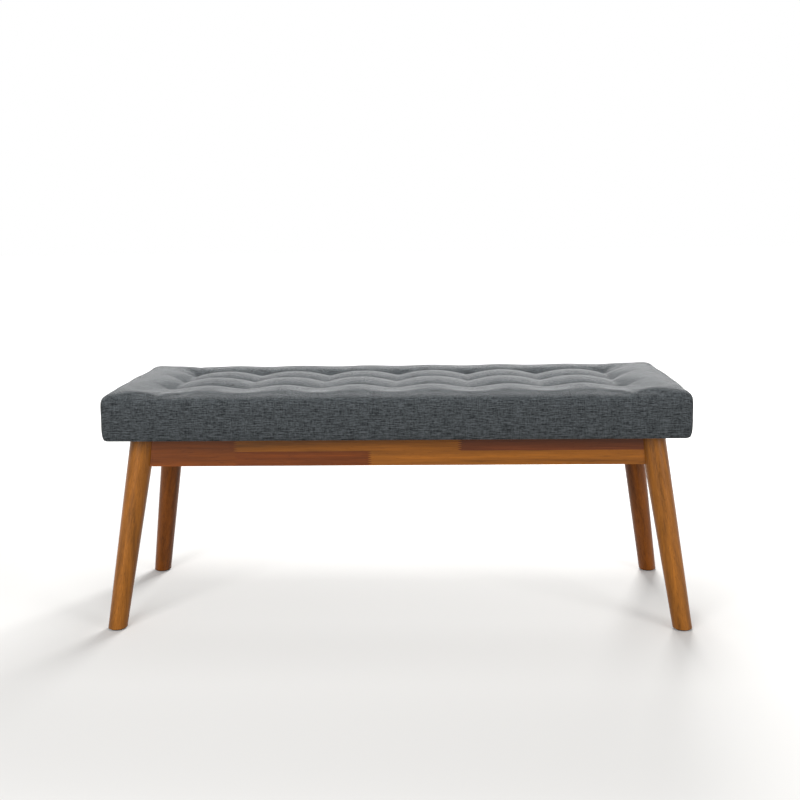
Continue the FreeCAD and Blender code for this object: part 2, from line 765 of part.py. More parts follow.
def rounded_plan(height, inset):
    """Closed plan outline of the cushion at one height, with quarter-round corners."""
    x = half_length - inset
    y = half_depth - inset
    radius = size("seat_corner_radius") - min(inset, size("seat_corner_radius") / 2)
    diagonal = radius * (1 - math.sqrt(0.5))
    edges = []
    corners = ((1, 1), (-1, 1), (-1, -1), (1, -1))
    for index, (sx, sy) in enumerate(corners):
        next_sx, next_sy = corners[(index + 1) % 4]
        on_y_side = FreeCAD.Vector(sx * (x - radius), sy * y, height)
        on_x_side = FreeCAD.Vector(sx * x, sy * (y - radius), height)
        middle = FreeCAD.Vector(sx * (x - diagonal), sy * (y - diagonal), height)
        start, end = (on_x_side, on_y_side) if sx == sy else (on_y_side, on_x_side)
        edges.append(Part.Arc(start, middle, end).toShape())
        if sx == sy:
            following = FreeCAD.Vector(next_sx * (x - radius), next_sy * y, height)
        else:
            following = FreeCAD.Vector(next_sx * x, next_sy * (y - radius), height)
        edges.append(Part.LineSegment(end, following).toShape())
    return Part.Wire(edges)


def side_blank(inset):
    """Loft of plan outlines up the cushion's sides, all round, past the tufted top."""
    roll = size("edge_roll_radius")
    roll_start = crest_height - roll
    drawn = size("side_draw_in") + inset
    bulge = value("Sizes.frame_height + Sizes.bulge_above_frame")
    outlines = [rounded_plan(cover_bottom + inset, drawn), rounded_plan(board_top, drawn)]
    outlines.append(rounded_plan(bulge, inset))
    for angle in ROLL_ANGLES[1:]:
        turn = math.radians(angle)
        reach = (roll - inset) * math.sin(turn)
        outlines.append(rounded_plan(roll_start + reach, roll - (roll - inset) * math.cos(turn)))
    last = math.radians(ROLL_ANGLES[-1])
    top_inset = roll - (roll - inset) * math.cos(last) + BLANK_OVERRUN * math.tan(last) / 2
    outlines.append(rounded_plan(roll_start + roll * math.sin(last) + BLANK_OVERRUN / 2, top_inset))
    return Part.makeLoft(outlines, True, False)


def valley_depth(x):
    """Depth of the rows' valleys below the crest: deep at a tuft, shallow between two."""
    pitch = value(TUFT_PITCH_X)
    nearest = min(abs(x - column) for column in column_xs)
    share = max(0.0, 1 - nearest / (pitch / 2))
    return size("wave_depth") + (size("tuft_depth") - size("wave_depth")) * share**VALLEY_SHARPNESS


def top_outline(x, sink, drop):
    """Closed section across the seat: flat foot, upright sides and one arc for each crest."""
    y_edge = half_depth + BLANK_OVERRUN
    low = value(COVER_BOTTOM) - BLANK_OVERRUN
    extra_depth = size("tuft_depth") - size("wave_depth")
    at_column = (valley_depth(x) - size("wave_depth")) / extra_depth
    level = crest_height - sink - drop
    crest = level - at_column * size("column_crest_drop")
    valley = level - valley_depth(x)
    edge_height = level - size("edge_fall")
    points = [(-y_edge, edge_height)] + [(y, valley) for y in row_ys] + [(y_edge, edge_height)]
    edges = []
    for (y0, z0), (y1, z1) in zip(points, points[1:]):
        middle_y = (y0 + y1) / 2
        if z0 < z1:
            middle_y -= (y1 - y0) * OUTER_CREST_SHIFT
        if z0 > z1:
            middle_y += (y1 - y0) * OUTER_CREST_SHIFT
        start = FreeCAD.Vector(x, y0, z0)
        end = FreeCAD.Vector(x, y1, z1)
        edges.append(Part.Arc(start, FreeCAD.Vector(x, middle_y, crest), end).toShape())
    right_foot = FreeCAD.Vector(x, y_edge, low)
    left_foot = FreeCAD.Vector(x, -y_edge, low)
    edges.append(Part.LineSegment(FreeCAD.Vector(x, *points[-1]), right_foot).toShape())
    edges.append(Part.LineSegment(right_foot, left_foot).toShape())
    edges.append(Part.LineSegment(left_foot, FreeCAD.Vector(x, *points[0])).toShape())
    return Part.Wire(edges)


def top_blank(sink):
    """Loft of sections along the seat, through each column of tufts, the gaps and both ends."""
    pitch = value(TUFT_PITCH_X)
    right_half = []
    for column in column_xs:
        right_half += [column + pitch * step / STEPS_PER_GAP for step in range(STEPS_PER_GAP)]
    right_half = [x for x in right_half if 0 <= x <= column_xs[-1]]
    reach = min(pitch, size("tuft_end_margin")) / 2
    right_half.append(column_xs[-1] + reach / 2)
    sections = [(x, 0) for x in right_half]
    end_start = column_xs[-1] + reach
    end_run = half_length + BLANK_OVERRUN - end_start
    for step in range(STEPS_PER_END + 1):
        share = step / STEPS_PER_END
        sections.append((end_start + share * end_run, share**2 * size("edge_fall")))
    mirrored = [(-x, drop) for x, drop in reversed(sections) if x > 0]
    return Part.makeLoft([top_outline(x, sink, drop) for x, drop in mirrored + sections], True, False)


def cushion_form(inset):
    """The cushion's outer form, taken in by an inset all round."""
    return side_blank(inset).common(top_blank(inset)).Solids[0]


def slab_over_board():
    """Everything above the seat board's top, as a tool for the foam."""
    corner = FreeCAD.Vector(-2 * half_length, -2 * half_depth, board_top)
    return Part.makeBox(4 * half_length, 4 * half_depth, 2 * size("cushion_height"), corner)


def solid_node(name, shape):
    """Put a worked-out solid into the document."""
    item = add("Part::Feature", name)
    item.Shape = shape
    item.Placement = FreeCAD.Placement()
    return item


cover_thickness = size("cover_thickness")
cover_outside = cushion_form(0)
cover_inside = cushion_form(cover_thickness)
hem_edge = size("side_draw_in") + size("hem_width")
hem_opening = Part.makeBox(
    2 * (half_length - hem_edge),
    2 * (half_depth - hem_edge),
    2 * cover_thickness,
    FreeCAD.Vector(hem_edge - half_length, hem_edge - half_depth, cover_bottom - cover_thickness / 2),
)
cover_blank = solid_node("cover_blank", cover_outside.cut(cover_inside).cut(hem_opening).Solids[0])
seat_cover = cut("seat_cover", cover_blank, staple_bores)

foam_inset = cover_thickness + size("soft_gap")
foam_blank = solid_node("foam_blank", cushion_form(foam_inset).common(slab_over_board()).Solids[0])
channels = []
twines = []
twine_washers = []
for column, x in enumerate(column_xs, 1):
    for row, y in enumerate(row_ys, 1):
        place_x = f"{column - 1} * {TUFT_PITCH_X} - (Sizes.seat_length / 2 - Sizes.tuft_end_margin)"
        place_y = f"{row - 1} * {TUFT_PITCH_Y} - (Sizes.seat_depth / 2 - Sizes.tuft_side_margin)"
        tag = f"{row}_{column}"
        channel = cylinder(f"foam_channel_{tag}", "Sizes.foam_channel_radius", "Sizes.cushion_height")
        channels.append(place(channel, place_x, place_y, BOARD_BOTTOM))
        twine_top = f"{CUSHION_TOP} - Sizes.tuft_depth - Sizes.cover_thickness - Sizes.soft_gap"
        twine = cylinder(f"twine_{tag}", "Sizes.twine_radius", f"{twine_top} - {BOARD_BOTTOM}")
        twines.append(place(twine, place_x, place_y, BOARD_BOTTOM))
        washer_radius = "Sizes.twine_washer_radius"
        washer_thickness = "Sizes.twine_washer_thickness"
        twine_washer = cylinder(f"twine_washer_{tag}", washer_radius, washer_thickness)
        washer_z = f"{BOARD_BOTTOM} - Sizes.twine_washer_thickness"
        twine_washers.append(place(twine_washer, place_x, place_y, washer_z))
seat_foam = cut("seat_foam", foam_blank, channels)

nodes = legs + glides + aprons + corner_blocks
nodes += [centre_brace, seat_board, seat_foam, seat_cover, dust_cover]
nodes += [
    group("apron_dowels", all_dowels),
    group("hanger_bolts", all_bolts),
    group("bolt_washers", all_bolt_washers),
    group("bolt_nuts", all_nuts),
    group("block_screws", all_block_screws),
    group("seat_screws", all_seat_screws),
    group("glide_nails", all_nails),
    group("cover_staples", staples),
    group("tuft_twines", twines),
    group("twine_washers", twine_washers),
]

document.recompute()

for item in document.Objects:
    if "Invalid" in item.State or "Error" in item.State:
        raise RuntimeError(f"{item.Name} did not rebuild: {item.State}")

os.makedirs("parts", exist_ok=True)
for node in nodes:
    node.Label = node.Name
    shape = node.Shape
    if shape.isNull() or not shape.isValid() or not shape.Solids:
        raise RuntimeError(f"{node.Name} has no valid solid")
    shape.exportStep(os.path.join("parts", f"{node.Label}.step"))
    print(f"{node.Label}: {len(shape.Solids)} solids, {shape.Volume:.0f} mm3")
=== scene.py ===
"""Upholstered bench: a blind-tufted seat on a stained hardwood frame with splayed round legs."""

import math

import bmesh
import bpy
from bpy.props import FloatProperty, FloatVectorProperty, IntProperty, PointerProperty, StringProperty
from mathutils import Matrix, Vector, noise


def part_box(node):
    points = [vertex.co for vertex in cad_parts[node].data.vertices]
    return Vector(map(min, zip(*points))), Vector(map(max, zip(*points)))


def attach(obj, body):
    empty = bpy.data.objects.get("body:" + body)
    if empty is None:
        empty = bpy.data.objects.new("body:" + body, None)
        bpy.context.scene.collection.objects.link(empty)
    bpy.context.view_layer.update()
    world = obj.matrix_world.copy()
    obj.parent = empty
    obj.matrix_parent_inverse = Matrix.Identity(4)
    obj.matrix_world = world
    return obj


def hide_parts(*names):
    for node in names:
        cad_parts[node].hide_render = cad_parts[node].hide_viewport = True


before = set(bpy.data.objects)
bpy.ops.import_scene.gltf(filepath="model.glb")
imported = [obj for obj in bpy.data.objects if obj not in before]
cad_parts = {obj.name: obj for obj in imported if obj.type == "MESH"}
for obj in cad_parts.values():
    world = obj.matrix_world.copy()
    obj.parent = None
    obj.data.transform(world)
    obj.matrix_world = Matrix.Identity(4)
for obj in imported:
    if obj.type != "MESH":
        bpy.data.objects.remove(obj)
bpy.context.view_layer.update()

bl_info = {
    "name": "Tufted Bench",
    "version": (1, 0, 0),
    "blender": (4, 5, 0),
    "location": "View3D > Sidebar > Bench",
    "description": "Builds a tufted upholstered bench with splayed wooden legs",
    "category": "Add Mesh",
}

BODY = "root"

SEAT_LOW, SEAT_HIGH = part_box("seat_cover")
TUFTS_LOW, TUFTS_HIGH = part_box("tuft_twines")
DUST_LOW, DUST_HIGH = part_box("dust_cover")
APRON_LOW, APRON_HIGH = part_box("front_apron")
LEG_LOW, LEG_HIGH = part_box("leg_front_right")


class CushionSettings(bpy.types.PropertyGroup):
    """Sizes of the padded seat."""

    columns: IntProperty(name="Tuft columns", description="Tufts along the seat", default=7)
    rows: IntProperty(name="Tuft rows", description="Tufts across the seat", default=3)
    twine_radius: FloatProperty(
        name="Twine radius", description="Radius of the tufting twine", default=0.001, subtype="DISTANCE"
    )
    cloth_thickness: FloatProperty(
        name="Cloth thickness", description="Cover cloth with its wadding", default=0.0015, subtype="DISTANCE"
    )
    crown: FloatProperty(
        name="Crown",
        description="How far the fullest crest stands over the tufts",
        default=0.0208,
        subtype="DISTANCE",
    )
    row_dip: FloatProperty(
        name="Row dip",
        description="Depth of the valley between two tufts of a row",
        default=0.0125,
        subtype="DISTANCE",
    )
    column_dip: FloatProperty(
        name="Column dip",
        description="Depth of the dip between two tufts of a column",
        default=0.011,
        subtype="DISTANCE",
    )
    edge_dip: FloatProperty(
        name="Edge dip",
        description="Depth of the dip from a tuft to the edge",
        default=0.0075,
        subtype="DISTANCE",
    )
    edge_fall: FloatProperty(
        name="Edge fall", description="How far the top falls to its edge", default=0.010, subtype="DISTANCE"
    )
    front_fall: FloatProperty(
        name="Front fall", description="How much lower the front crest is", default=0.0055, subtype="DISTANCE"
    )
    rear_fall: FloatProperty(
        name="Rear fall", description="How much lower the rear crest is", default=0.0085, subtype="DISTANCE"
    )
    draw_in: FloatProperty(
        name="Draw in",
        description="How far the sides pull in at their foot",
        default=0.003,
        subtype="DISTANCE",
    )
    corner_radius: FloatProperty(
        name="Corner radius",
        description="Radius of the seat's upright corners",
        default=0.012,
        subtype="DISTANCE",
    )
    roll_radius: FloatProperty(
        name="Top edge roll", description="Radius of the padded top edge", default=0.024, subtype="DISTANCE"
    )
    hem_radius: FloatProperty(
        name="Hem roll",
        description="Radius where the cover turns under the board",
        default=0.004,
        subtype="DISTANCE",
    )
    voxel: FloatProperty(
        name="Remesh size", description="Edge length of the cushion's mesh", default=0.006, subtype="DISTANCE"
    )
    swell: FloatProperty(
        name="Swell",
        description="Furthest that the padding pushes the top out",
        default=0.0035,
        subtype="DISTANCE",
    )
    side_swell: FloatProperty(
        name="Side swell",
        description="Furthest that it pushes the sides out",
        default=0.0015,
        subtype="DISTANCE",
    )
    pressure: FloatProperty(name="Pressure", description="Pressure of the padding on the cover", default=4.0)


class ColourSettings(bpy.types.PropertyGroup):
    """Colours of the finishes, as sRGB hex values."""

    cloth_dark: StringProperty(name="Cloth ground", description="Darker yarn of the cover", default="#1f2224")
    cloth_light: StringProperty(
        name="Cloth slub", description="Lighter slub yarn of the cover", default="#62676a"
    )
    leg_amber: StringProperty(name="Leg amber", description="Stained wood of the legs", default="#a16424")
    # Painted shade: the rear legs' colour is the leg stain darkened for the shadow that the seat casts on
    # them
    leg_painted_shade: StringProperty(
        name="Rear leg painted shade", description="The rear legs, darker as painted shade", default="#834813"
    )
    stave_gold: StringProperty(name="Golden stave", description="Lightest stained stave", default="#995c1e")
    stave_brown: StringProperty(name="Brown stave", description="Middle stained stave", default="#7b3f12")
    stave_red: StringProperty(name="Red stave", description="Reddish stave", default="#763a10")
    stave_dark: StringProperty(name="Dark stave", description="Darkest stained stave", default="#6b371a")


class CameraSettings(bpy.types.PropertyGroup):
    """Where the photograph was taken from."""

    place: FloatVectorProperty(
        name="Place", description="Camera position", default=(0.0833, -2.0845, 0.7894), subtype="TRANSLATION"
    )
    pitch: FloatProperty(name="Pitch", description="Degrees the camera looks down", default=10.098)
    yaw: FloatProperty(name="Yaw", description="Degrees the camera turns right", default=-2.157)
    roll: FloatProperty(name="Roll", description="Degrees the camera leans", default=-0.7915)
    focal_pixels: FloatProperty(
        name="Focal length", description="In pixels of an 800 pixel frame", default=1045.4
    )


# Materials


def linear(text, alpha=1.0):
    """Turn an sRGB hex value into a linear colour."""
    channels = [int(text[index : index + 2], 16) / 255 for index in (1, 3, 5)]
    values = [c / 12.92 if c <= 0.04045 else ((c + 0.055) / 1.055) ** 2.4 for c in channels]
    return (*values, alpha)


def add_node(tree, kind, inputs=None, stops=None, **settings):
    """Add a node, set its options and colour stops, and give each named input a value or a link."""
    node = tree.nodes.new(kind)
    for name, value in settings.items():
        setattr(node, name, value)
    if stops:
        ramp = node.color_ramp
        while len(ramp.elements) < len(stops):
            ramp.elements.new(0.5)
        for element, (position, colour) in zip(ramp.elements, stops):
            element.position = position
            element.color = colour
    for key, value in (inputs or {}).items():
        socket = node.inputs[key]
        if isinstance(value, bpy.types.NodeSocket):
            tree.links.new(value, socket)
        else:
            socket.default_value = value
    return node


def new_material(name):
    """Make an empty node material and return it with its tree and its shader."""
    material = bpy.data.materials.new(name)
    material.use_nodes = True
    tree = material.node_tree
    tree.nodes.clear()
    shader = add_node(tree, "ShaderNodeBsdfPrincipled")
    add_node(tree, "ShaderNodeOutputMaterial", {"Surface": shader.outputs["BSDF"]})
    return material, tree, shader


def grey(value):
    """A grey colour stop."""
    return (value, value, value, 1.0)


def blend_values(tree, factor, first, second):
    """Mix two values by a fixed share."""
    mixed = add_node(
        tree, "ShaderNodeMix", {"Factor": factor, 2: first, 3: second}, data_type="FLOAT"
    )
    return mixed.outputs[0]


def stretch(tree, place, size):
    """Stretch a place so that a texture's features get this size in metres."""
    scale = tuple(1 / length for length in size)
    stretched = add_node(tree, "ShaderNodeVectorMath", {0: place, 1: scale}, operation="MULTIPLY")
    return stretched.outputs["Vector"]


def seen_rays(tree):
    """Give 1 for rays that the eye sees, straight or in gloss or glass, and 0 for the light's own."""
    path = add_node(tree, "ShaderNodeLightPath")
    direct = add_node(
        tree,
        "ShaderNodeMath",
        {0: path.outputs["Is Camera Ray"], 1: path.outputs["Is Glossy Ray"]},
        operation="MAXIMUM",
    )
    seen = add_node(
        tree,
        "ShaderNodeMath",
        {0: direct.outputs[0], 1: path.outputs["Is Transmission Ray"]},
        operation="MAXIMUM",
    )
    return seen.outputs[0]


def linen_cloth():
    """Polyester linen-look upholstery cloth, plain woven from slubbed heather yarns.

    Matt, with a soft sheen at grazing angles. Yarns of uneven thickness run both ways and show as
    short pale streaks, most of them along the seat.
    """
    colours = bpy.context.scene.bench_colours
    material, tree, shader = new_material("heathered_linen_cloth")
    uv = add_node(tree, "ShaderNodeUVMap", uv_map="weave").outputs["UV"]

    # Slubs are about 20 mm long and 1.9 mm wide: coarser than the real 0.8 mm yarn, so that they show
    streaks = []
    for label, length, width in (
        ("weft", 0.022, 0.0019),
        ("warp", 0.018, 0.0018),
        ("heather", 0.005, 0.0028),
    ):
        along, across = (length, width) if label != "warp" else (width, length)
        place = stretch(tree, uv, (along, across, 1.0))
        streak = add_node(
            tree,
            "ShaderNodeTexNoise",
            {"Vector": place, "Scale": 1.0, "Detail": 3.0, "Roughness": 0.6},
            label=label,
        )
        streaks.append(streak.outputs["Fac"])
    warp_share, heather_share = 0.3, 0.3
    crossed = blend_values(tree, warp_share, streaks[0], streaks[1])
    mottled = blend_values(tree, heather_share, crossed, streaks[2])
    tone = add_node(
        tree,
        "ShaderNodeValToRGB",
        {"Fac": mottled},
        stops=((0.40, linear(colours.cloth_dark)), (0.60, linear(colours.cloth_light))),
    )

    # Over and under of the yarns, 0.8 mm apart, in the bump only
    yarn = 0.0008
    yarn_relief = 0.35
    picks = add_node(tree, "ShaderNodeVectorMath", {0: uv, "Scale": math.pi / yarn}, operation="SCALE")
    split = add_node(tree, "ShaderNodeSeparateXYZ", {0: picks.outputs["Vector"]})
    across, along = (
        add_node(tree, "ShaderNodeMath", {0: split.outputs[axis]}, operation="SINE") for axis in ("X", "Y")
    )
    weave = add_node(
        tree, "ShaderNodeMath", {0: across.outputs[0], 1: along.outputs[0]}, operation="MULTIPLY"
    )
    relief = add_node(
        tree,
        "ShaderNodeMath",
        {0: weave.outputs[0], 1: yarn_relief, 2: mottled},
        operation="MULTIPLY_ADD",
    )
    bump = add_node(
        tree, "ShaderNodeBump", {"Strength": 0.55, "Distance": yarn, "Height": relief.outputs[0]}
    )

    tree.links.new(tone.outputs["Color"], shader.inputs["Base Color"])
    tree.links.new(bump.outputs["Normal"], shader.inputs["Normal"])
    shader.inputs["Roughness"].default_value = 0.92
    shader.inputs["Sheen Weight"].default_value = 0.5
    shader.inputs["Sheen Roughness"].default_value = 0.32
    shader.inputs["Specular IOR Level"].default_value = 0.1
    return material


def stained_wood(name, turn, shift, stain="leg_amber", staves=None):
    """Hardwood stained amber-brown under satin lacquer, sanded smooth.

    The grain runs along X after the turn. Fine straight fibre, soft darker figure and short pores
    under a clear coat that gives a gentle highlight. Staves are two rows of finger-jointed lengths,
    each with its own stain.
    """
    colours = bpy.context.scene.bench_colours
    material, tree, shader = new_material(name)
    place = add_node(tree, "ShaderNodeTexCoord").outputs["Object"]
    turned = add_node(tree, "ShaderNodeMapping", {"Vector": place, "Rotation": turn, "Location": shift})
    grain_place = turned.outputs["Vector"]
    tint = None

    if staves:
        split = add_node(tree, "ShaderNodeSeparateXYZ", {0: grain_place})
        # Fingers 9 mm long and 4 mm apart shape each joint
        finger_pitch, finger_length = 0.004, 0.009
        zigzag = add_node(
            tree, "ShaderNodeMath", {0: split.outputs["Z"], 1: finger_pitch / 2}, operation="PINGPONG"
        )
        slipped = add_node(
            tree,
            "ShaderNodeMath",
            {0: zigzag.outputs[0], 1: 2 * finger_length / finger_pitch, 2: split.outputs["X"]},
            operation="MULTIPLY_ADD",
        )
        half = staves["half_length"]
        share = add_node(
            tree,
            "ShaderNodeMapRange",
            {"Value": slipped.outputs[0], "From Min": -half, "From Max": half},
        )
        rows = []
        for row in ("upper", "lower"):
            ramp = add_node(
                tree,
                "ShaderNodeValToRGB",
                {"Fac": share.outputs["Result"]},
                stops=[
                    ((start + half) / (2 * half), linear(getattr(colours, tone)))
                    for start, tone in staves[row]
                ],
            )
            ramp.color_ramp.interpolation = "CONSTANT"
            rows.append(ramp.outputs["Color"])
        above = add_node(
            tree, "ShaderNodeMath", {0: split.outputs["Z"], 1: staves["split"]}, operation="GREATER_THAN"
        )
        tint = add_node(
            tree, "ShaderNodeMix", {0: above.outputs[0], 6: rows[1], 7: rows[0]}, data_type="RGBA"
        ).outputs[2]
        # Each stave's stain also moves its grain, so that the figure breaks off at every joint
        jump = 7.0
        jumped = add_node(tree, "ShaderNodeVectorMath", {0: tint, "Scale": jump}, operation="SCALE")
        grain_place = add_node(
            tree, "ShaderNodeVectorMath", {0: grain_place, 1: jumped.outputs["Vector"]}, operation="ADD"
        ).outputs["Vector"]

    # Length and width in metres of the figure, the fibre and the pores
    layers = {}
    for label, length, width, detail in (
        ("figure", 0.34, 0.013, 3.0),
        ("fibre", 0.07, 0.0016, 4.0),
        ("pores", 0.016, 0.0011, 1.0),
    ):
        grain_size = stretch(tree, grain_place, (length, width, width))
        texture = add_node(
            tree,
            "ShaderNodeTexNoise",
            {"Vector": grain_size, "Scale": 1.0, "Detail": detail, "Distortion": 0.35},
            label=label,
        )
        layers[label] = texture.outputs["Fac"]
    fibre_share = 0.38
    shade = add_node(
        tree,
        "ShaderNodeValToRGB",
        {"Fac": blend_values(tree, fibre_share, layers["figure"], layers["fibre"])},
        stops=((0.36, grey(0.55)), (0.46, grey(0.88)), (0.55, grey(1.05)), (0.64, grey(1.35))),
    )
    pore_shade = add_node(
        tree, "ShaderNodeValToRGB", {"Fac": layers["pores"]}, stops=((0.26, grey(0.62)), (0.36, grey(1.0)))
    )
    grain = add_node(
        tree,
        "ShaderNodeMix",
        {0: 1.0, 6: shade.outputs["Color"], 7: pore_shade.outputs["Color"]},
        data_type="RGBA",
        blend_type="MULTIPLY",
    )
    colour = add_node(
        tree,
        "ShaderNodeMix",
        {0: 1.0, 6: grain.outputs[2], 7: tint or linear(getattr(colours, stain))},
        data_type="RGBA",
        blend_type="MULTIPLY",
    )
    rough = add_node(
        tree,
        "ShaderNodeMapRange",
        {"Value": layers["fibre"], "From Min": 0.3, "From Max": 0.7, "To Min": 0.46, "To Max": 0.34},
    )
    bump = add_node(tree, "ShaderNodeBump", {"Strength": 0.25, "Distance": 0.0003, "Height": layers["fibre"]})
    tree.links.new(colour.outputs[2], shader.inputs["Base Color"])
    tree.links.new(rough.outputs["Result"], shader.inputs["Roughness"])
    tree.links.new(bump.outputs["Normal"], shader.inputs["Normal"])
    shader.inputs["Coat Weight"].default_value = 0.25
    shader.inputs["Coat Roughness"].default_value = 0.25
    shader.inputs["Specular IOR Level"].default_value = 0.1
    return material


def speckled(name, dark, light, spot, roughness, metallic=0.0, relief=0.0):
    """A plain finish with fine mottling of one spot size: raw timber, cloth, nylon or zinc."""
    material, tree, shader = new_material(name)
    place = add_node(tree, "ShaderNodeTexCoord").outputs["Object"]
    mottle = add_node(
        tree, "ShaderNodeTexNoise", {"Vector": stretch(tree, place, spot), "Scale": 1.0, "Detail": 3.0}
    )
    tone = add_node(
        tree,
        "ShaderNodeValToRGB",
        {"Fac": mottle.outputs["Fac"]},
        stops=((0.35, linear(dark)), (0.65, linear(light))),
    )
    tree.links.new(tone.outputs["Color"], shader.inputs["Base Color"])
    if relief:
        bump = add_node(tree, "ShaderNodeBump", {"Distance": relief, "Height": mottle.outputs["Fac"]})
        tree.links.new(bump.outputs["Normal"], shader.inputs["Normal"])
    shader.inputs["Roughness"].default_value = roughness
    shader.inputs["Metallic"].default_value = metallic
    return material


def dress(node, material):
    """Give a piece of the frame its material."""
    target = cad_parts[node]
    target.data.materials.clear()
    target.data.materials.append(material)


def new_piece(name, mesh, material):
    """Link a finished mesh as a piece of the bench."""
    piece = bpy.data.objects.new(name, mesh)
    bpy.context.scene.collection.objects.link(piece)
    mesh.materials.append(material)
    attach(piece, BODY)
    return piece


# Cushion


def tuft_points(settings):
    """Where the tufting twines pull the cover down, in plan."""
    inset = Vector((settings.twine_radius, settings.twine_radius, 0))
    low = TUFTS_LOW + inset
    high = TUFTS_HIGH - inset
    columns = [low.x + (high.x - low.x) * k / (settings.columns - 1) for k in range(settings.columns)]
    rows = [low.y + (high.y - low.y) * k / (settings.rows - 1) for k in range(settings.rows)]
    return columns, rows


def rounded_block(settings):
    """Box of the cushion's size with rounded upright corners, a rolled top edge and a tight hem."""
    form = bmesh.new()
    bmesh.ops.create_cube(form, size=1.0)
    bmesh.ops.scale(form, vec=SEAT_HIGH - SEAT_LOW, verts=form.verts)
    bmesh.ops.translate(form, vec=(SEAT_HIGH + SEAT_LOW) / 2, verts=form.verts)
    middle = (SEAT_HIGH.z + SEAT_LOW.z) / 2
    for radius, steps, chosen in (
        (settings.corner_radius, 5, lambda a, b: abs(a.z - b.z) > abs(a.x - b.x) + abs(a.y - b.y)),
        (settings.roll_radius, 7, lambda a, b: min(a.z, b.z) > middle),
        (settings.hem_radius, 3, lambda a, b: max(a.z, b.z) < middle),
    ):
        edges = [e for e in form.edges if chosen(e.verts[0].co, e.verts[1].co)]
        bmesh.ops.bevel(
            form,
            geom=edges,
            offset=radius,
            offset_type="OFFSET",
            affect="EDGES",
            segments=steps,
            profile=0.5,
            material=-1,
            clamp_overlap=True,
        )
    mesh = bpy.data.meshes.new("cushion_form")
    form.to_mesh(mesh)
    form.free()
    return mesh


def with_modifier(mesh, kind, **settings):
    """Return a copy of a mesh after one modifier."""
    holder = bpy.data.objects.new("holder", mesh)
    bpy.context.scene.collection.objects.link(holder)
    modifier = holder.modifiers.new(kind.lower(), kind)
    for key, value in settings.items():
        setattr(modifier, key, value)
    graph = bpy.context.evaluated_depsgraph_get()
    result = bpy.data.meshes.new_from_object(holder.evaluated_get(graph))
    bpy.data.objects.remove(holder)
    return result


def smooth_step(low, high, value):
    """Rise smoothly from 0 at low to 1 at high."""
    share = min(1.0, max(0.0, (value - low) / (high - low)))
    return share * share * (3 - 2 * share)


def span_share(value, places, reach):
    """Share of the way from the nearest tuft to the next crest, and whether it lies outside them all."""
    half_pitch = (places[1] - places[0]) / 2
    if abs(value) > places[-1]:
        return min(1.0, (abs(value) - places[-1]) / reach), True
    return min(abs(value - place) for place in places) / half_pitch, False


def pinch(share):
    """How strongly a tuft pulls: 1 at the tuft, falling fast and then slowly to 0 at the crest."""
    return (1 - share) ** 2


def tuft_drop(x, y, columns, rows, settings):
    """How far the cover lies below its crest at one point of the top."""
    depth = settings.crown
    # Beyond the outer tufts a dip runs out towards the edge, shallower at the rear
    end_reach = 0.066
    side_reach = 0.046
    rear_share = 0.4
    along, past_end = span_share(x, columns, end_reach)
    across, past_side = span_share(y, rows, side_reach)
    row_dip = settings.row_dip * pinch(along) if past_end else settings.row_dip
    column_dip = settings.column_dip
    if past_side:
        edge_dip = settings.edge_dip if y < 0 else settings.edge_dip * rear_share
        fade_start = rows[-1] + side_reach * 0.9
        column_dip = edge_dip * (1 - smooth_step(fade_start, SEAT_HIGH.y, abs(y)))
    on_row = row_dip + (depth - row_dip) * pinch(along)
    on_column = column_dip + (depth - column_dip) * pinch(across)
    # The dip widens from a pleat to a soft wave past the outer rows, and barely between the rows
    wave = 0.5 + 0.5 * math.cos(math.pi * along)
    softness = across if past_side else 0.1 * across
    column_pull = pinch(along) + (wave - pinch(along)) * softness
    return on_row * pinch(across) + on_column * column_pull - depth * pinch(along) * pinch(across)


def top_height(x, y, columns, rows, settings):
    """Height of the cushion's top surface before the padding swells it."""
    tuft_level = TUFTS_HIGH.z + settings.cloth_thickness
    crest = tuft_level + settings.crown
    # The rear and the front crest lie lower, less so towards the corners
    rear_corner = smooth_step(0.49, 0.545, abs(x))
    rear = settings.rear_fall * smooth_step(0, 0.15, y) * (1 - 0.28 * rear_corner)
    front_corner = smooth_step(0.44, 0.55, abs(x))
    front = settings.front_fall * smooth_step(0.09, 0.17, -y) * (1 - 0.5 * front_corner)
    # The top falls off from the outer tufts to the edge: gently in front, at the ends less to the rear
    side_start, end_start = 0.134, 0.480
    side = max(0.0, (abs(y) - side_start) / (SEAT_HIGH.y - side_start))
    end = max(0.0, (abs(x) - end_start) / (SEAT_HIGH.x - end_start))
    side_share = 0.7 * side**2 if y < 0 else side**2.5
    end_share = (0.8 - 0.75 * smooth_step(-0.05, SEAT_HIGH.y, y)) * end**3
    fall = settings.edge_fall * math.hypot(side_share, end_share)
    # A hand-stuffed seat is never quite even
    unevenness, per_metre = 0.0008, 11
    wander = unevenness * noise.noise(Vector((x * per_metre, y * per_metre, 3.0)))
    return crest - rear - front - fall + wander - tuft_drop(x, y, columns, rows, settings)


